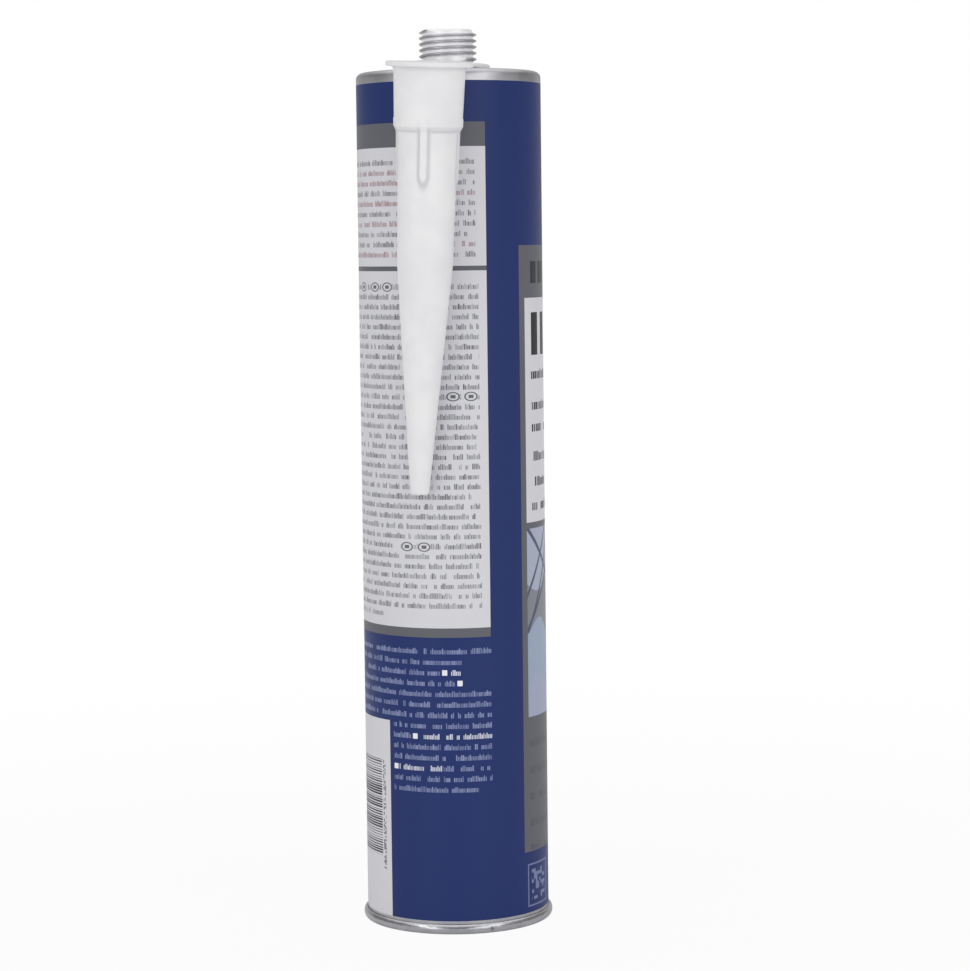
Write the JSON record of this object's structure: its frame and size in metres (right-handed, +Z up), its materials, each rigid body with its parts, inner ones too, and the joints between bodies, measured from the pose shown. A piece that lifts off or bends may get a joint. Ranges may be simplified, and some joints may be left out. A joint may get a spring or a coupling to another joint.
{
  "type": "caulk tube",
  "caption": "Printed aluminium caulk tube standing on its rolled rim, with a threaded neck, a piston behind the paste, and a tapered nozzle hung beside the wall by its ring.",
  "frame": {"origin": "on the tube's axis, in the plane of the rolled rim's foot, which the tube stands on", "axes": "+Z up the tube's axis towards the threaded neck; the nozzle hangs beside the wall on the -Y side"},
  "size_m": [0.0494, 0.0704, 0.2304],
  "materials": {
    "printed_aluminium": "gloss",
    "bare_aluminium": "satin",
    "paste": "satin",
    "nozzle_plastic": "satin"
  },
  "bodies": {
    "tube": {"cartridge": "printed_aluminium", "sealant": "paste"},
    "piston": {"piston": "bare_aluminium"},
    "nozzle": {"nozzle": "nozzle_plastic"}
  },
  "joints": [
    {"name": "piston_slide", "type": "slide", "parent": "tube", "child": "piston", "axis": [0, 0, 1], "range_m": [0, 0.1733], "deforming": ["sealant"]},
    {"name": "nozzle_swivel", "type": "hinge", "parent": "tube", "child": "nozzle", "pos_m": [0, 0, 0.22171], "axis": [0, 0, 1], "continuous": true}
  ]
}
